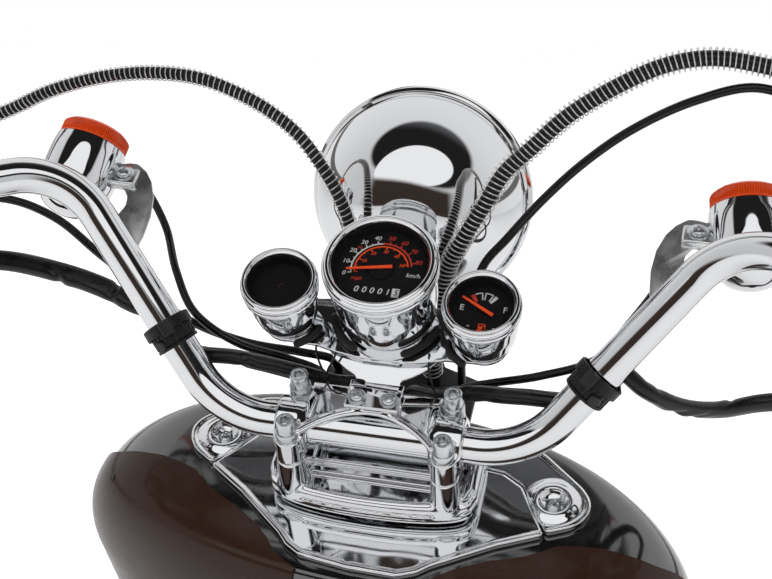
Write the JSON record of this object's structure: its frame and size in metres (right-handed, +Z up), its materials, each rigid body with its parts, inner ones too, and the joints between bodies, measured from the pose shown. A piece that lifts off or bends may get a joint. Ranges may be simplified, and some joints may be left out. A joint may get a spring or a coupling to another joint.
{
  "type": "motor scooter cockpit",
  "caption": "Chromed handlebar cockpit with clamp, gauges, headlamp, turn signals, controls and hoses, steering on its head over the top of a black leg shield.",
  "frame": {"origin": "middle of the down tube's cut end, where the rest of the frame carries this piece", "axes": "+Z up, +Y forward, +X to the rider's right"},
  "size_m": [0.9426, 0.3857, 0.5778],
  "materials": {
    "amber_lens": "translucent amber",
    "black_abs": "fine grain",
    "black_gloss": "high gloss",
    "black_paint": "satin paint",
    "black_rubber": "matt",
    "black_vinyl": "satin",
    "chrome_plate": "mirror polished",
    "clear_window": "clear",
    "dial_print": "matt black printed",
    "orange_pointer": "satin orange"
  },
  "bodies": {
    "frame": {"front_collar": "chrome_plate", "left_knee_panel": "black_gloss", "leg_shield": "black_gloss", "rear_collar": "chrome_plate", "right_knee_panel": "black_gloss", "steering_head": "black_paint"},
    "handlebars": {"gauge_bracket": "chrome_plate", "handlebar": "chrome_plate", "headlamp_bowl": "chrome_plate", "headlamp_bracket": "black_paint", "headlamp_lens": "clear_window", "headlamp_rim": "chrome_plate", "left_brake_hose": "black_vinyl", "left_brake_lever": "chrome_plate", "left_grip": "black_rubber", "left_lever_holder": "chrome_plate", "left_pod_bezel": "chrome_plate", "left_pod_can": "chrome_plate", "left_pod_dial": "dial_print", "left_pod_glass": "clear_window", "left_signal_bowl": "chrome_plate", "left_signal_bracket": "chrome_plate", "left_signal_lead": "black_vinyl", "left_signal_lens": "amber_lens", "left_strap": "black_rubber", "left_switch_cable": "black_vinyl", "left_switch_housing": "black_abs", "left_wiring_sleeve": "black_vinyl", "right_brake_hose": "black_vinyl", "right_brake_lever": "chrome_plate", "right_grip": "black_rubber", "right_lever_holder": "chrome_plate", "right_pod_bezel": "chrome_plate", "right_pod_can": "chrome_plate", "right_pod_dial": "dial_print", "right_pod_glass": "clear_window", "right_pod_needle": "orange_pointer", "right_signal_bowl": "chrome_plate", "right_signal_bracket": "chrome_plate", "right_signal_lead": "black_vinyl", "right_signal_lens": "amber_lens", "right_strap": "black_rubber", "right_switch_housing": "black_abs", "right_wiring_sleeve": "black_vinyl", "speedo_bezel": "chrome_plate", "speedo_can": "chrome_plate", "speedo_dial": "dial_print", "speedo_glass": "clear_window", "speedo_needle": "orange_pointer", "throttle_cable": "black_vinyl", "top_clamp": "chrome_plate", "yoke": "chrome_plate"}
  },
  "joints": [
    {"name": "steering", "type": "hinge", "parent": "frame", "child": "handlebars", "pos_m": [0, -0.07899, 0.296], "axis": [0, -0.454, 0.891], "range_deg": [-42.8, 33.2]}
  ]
}
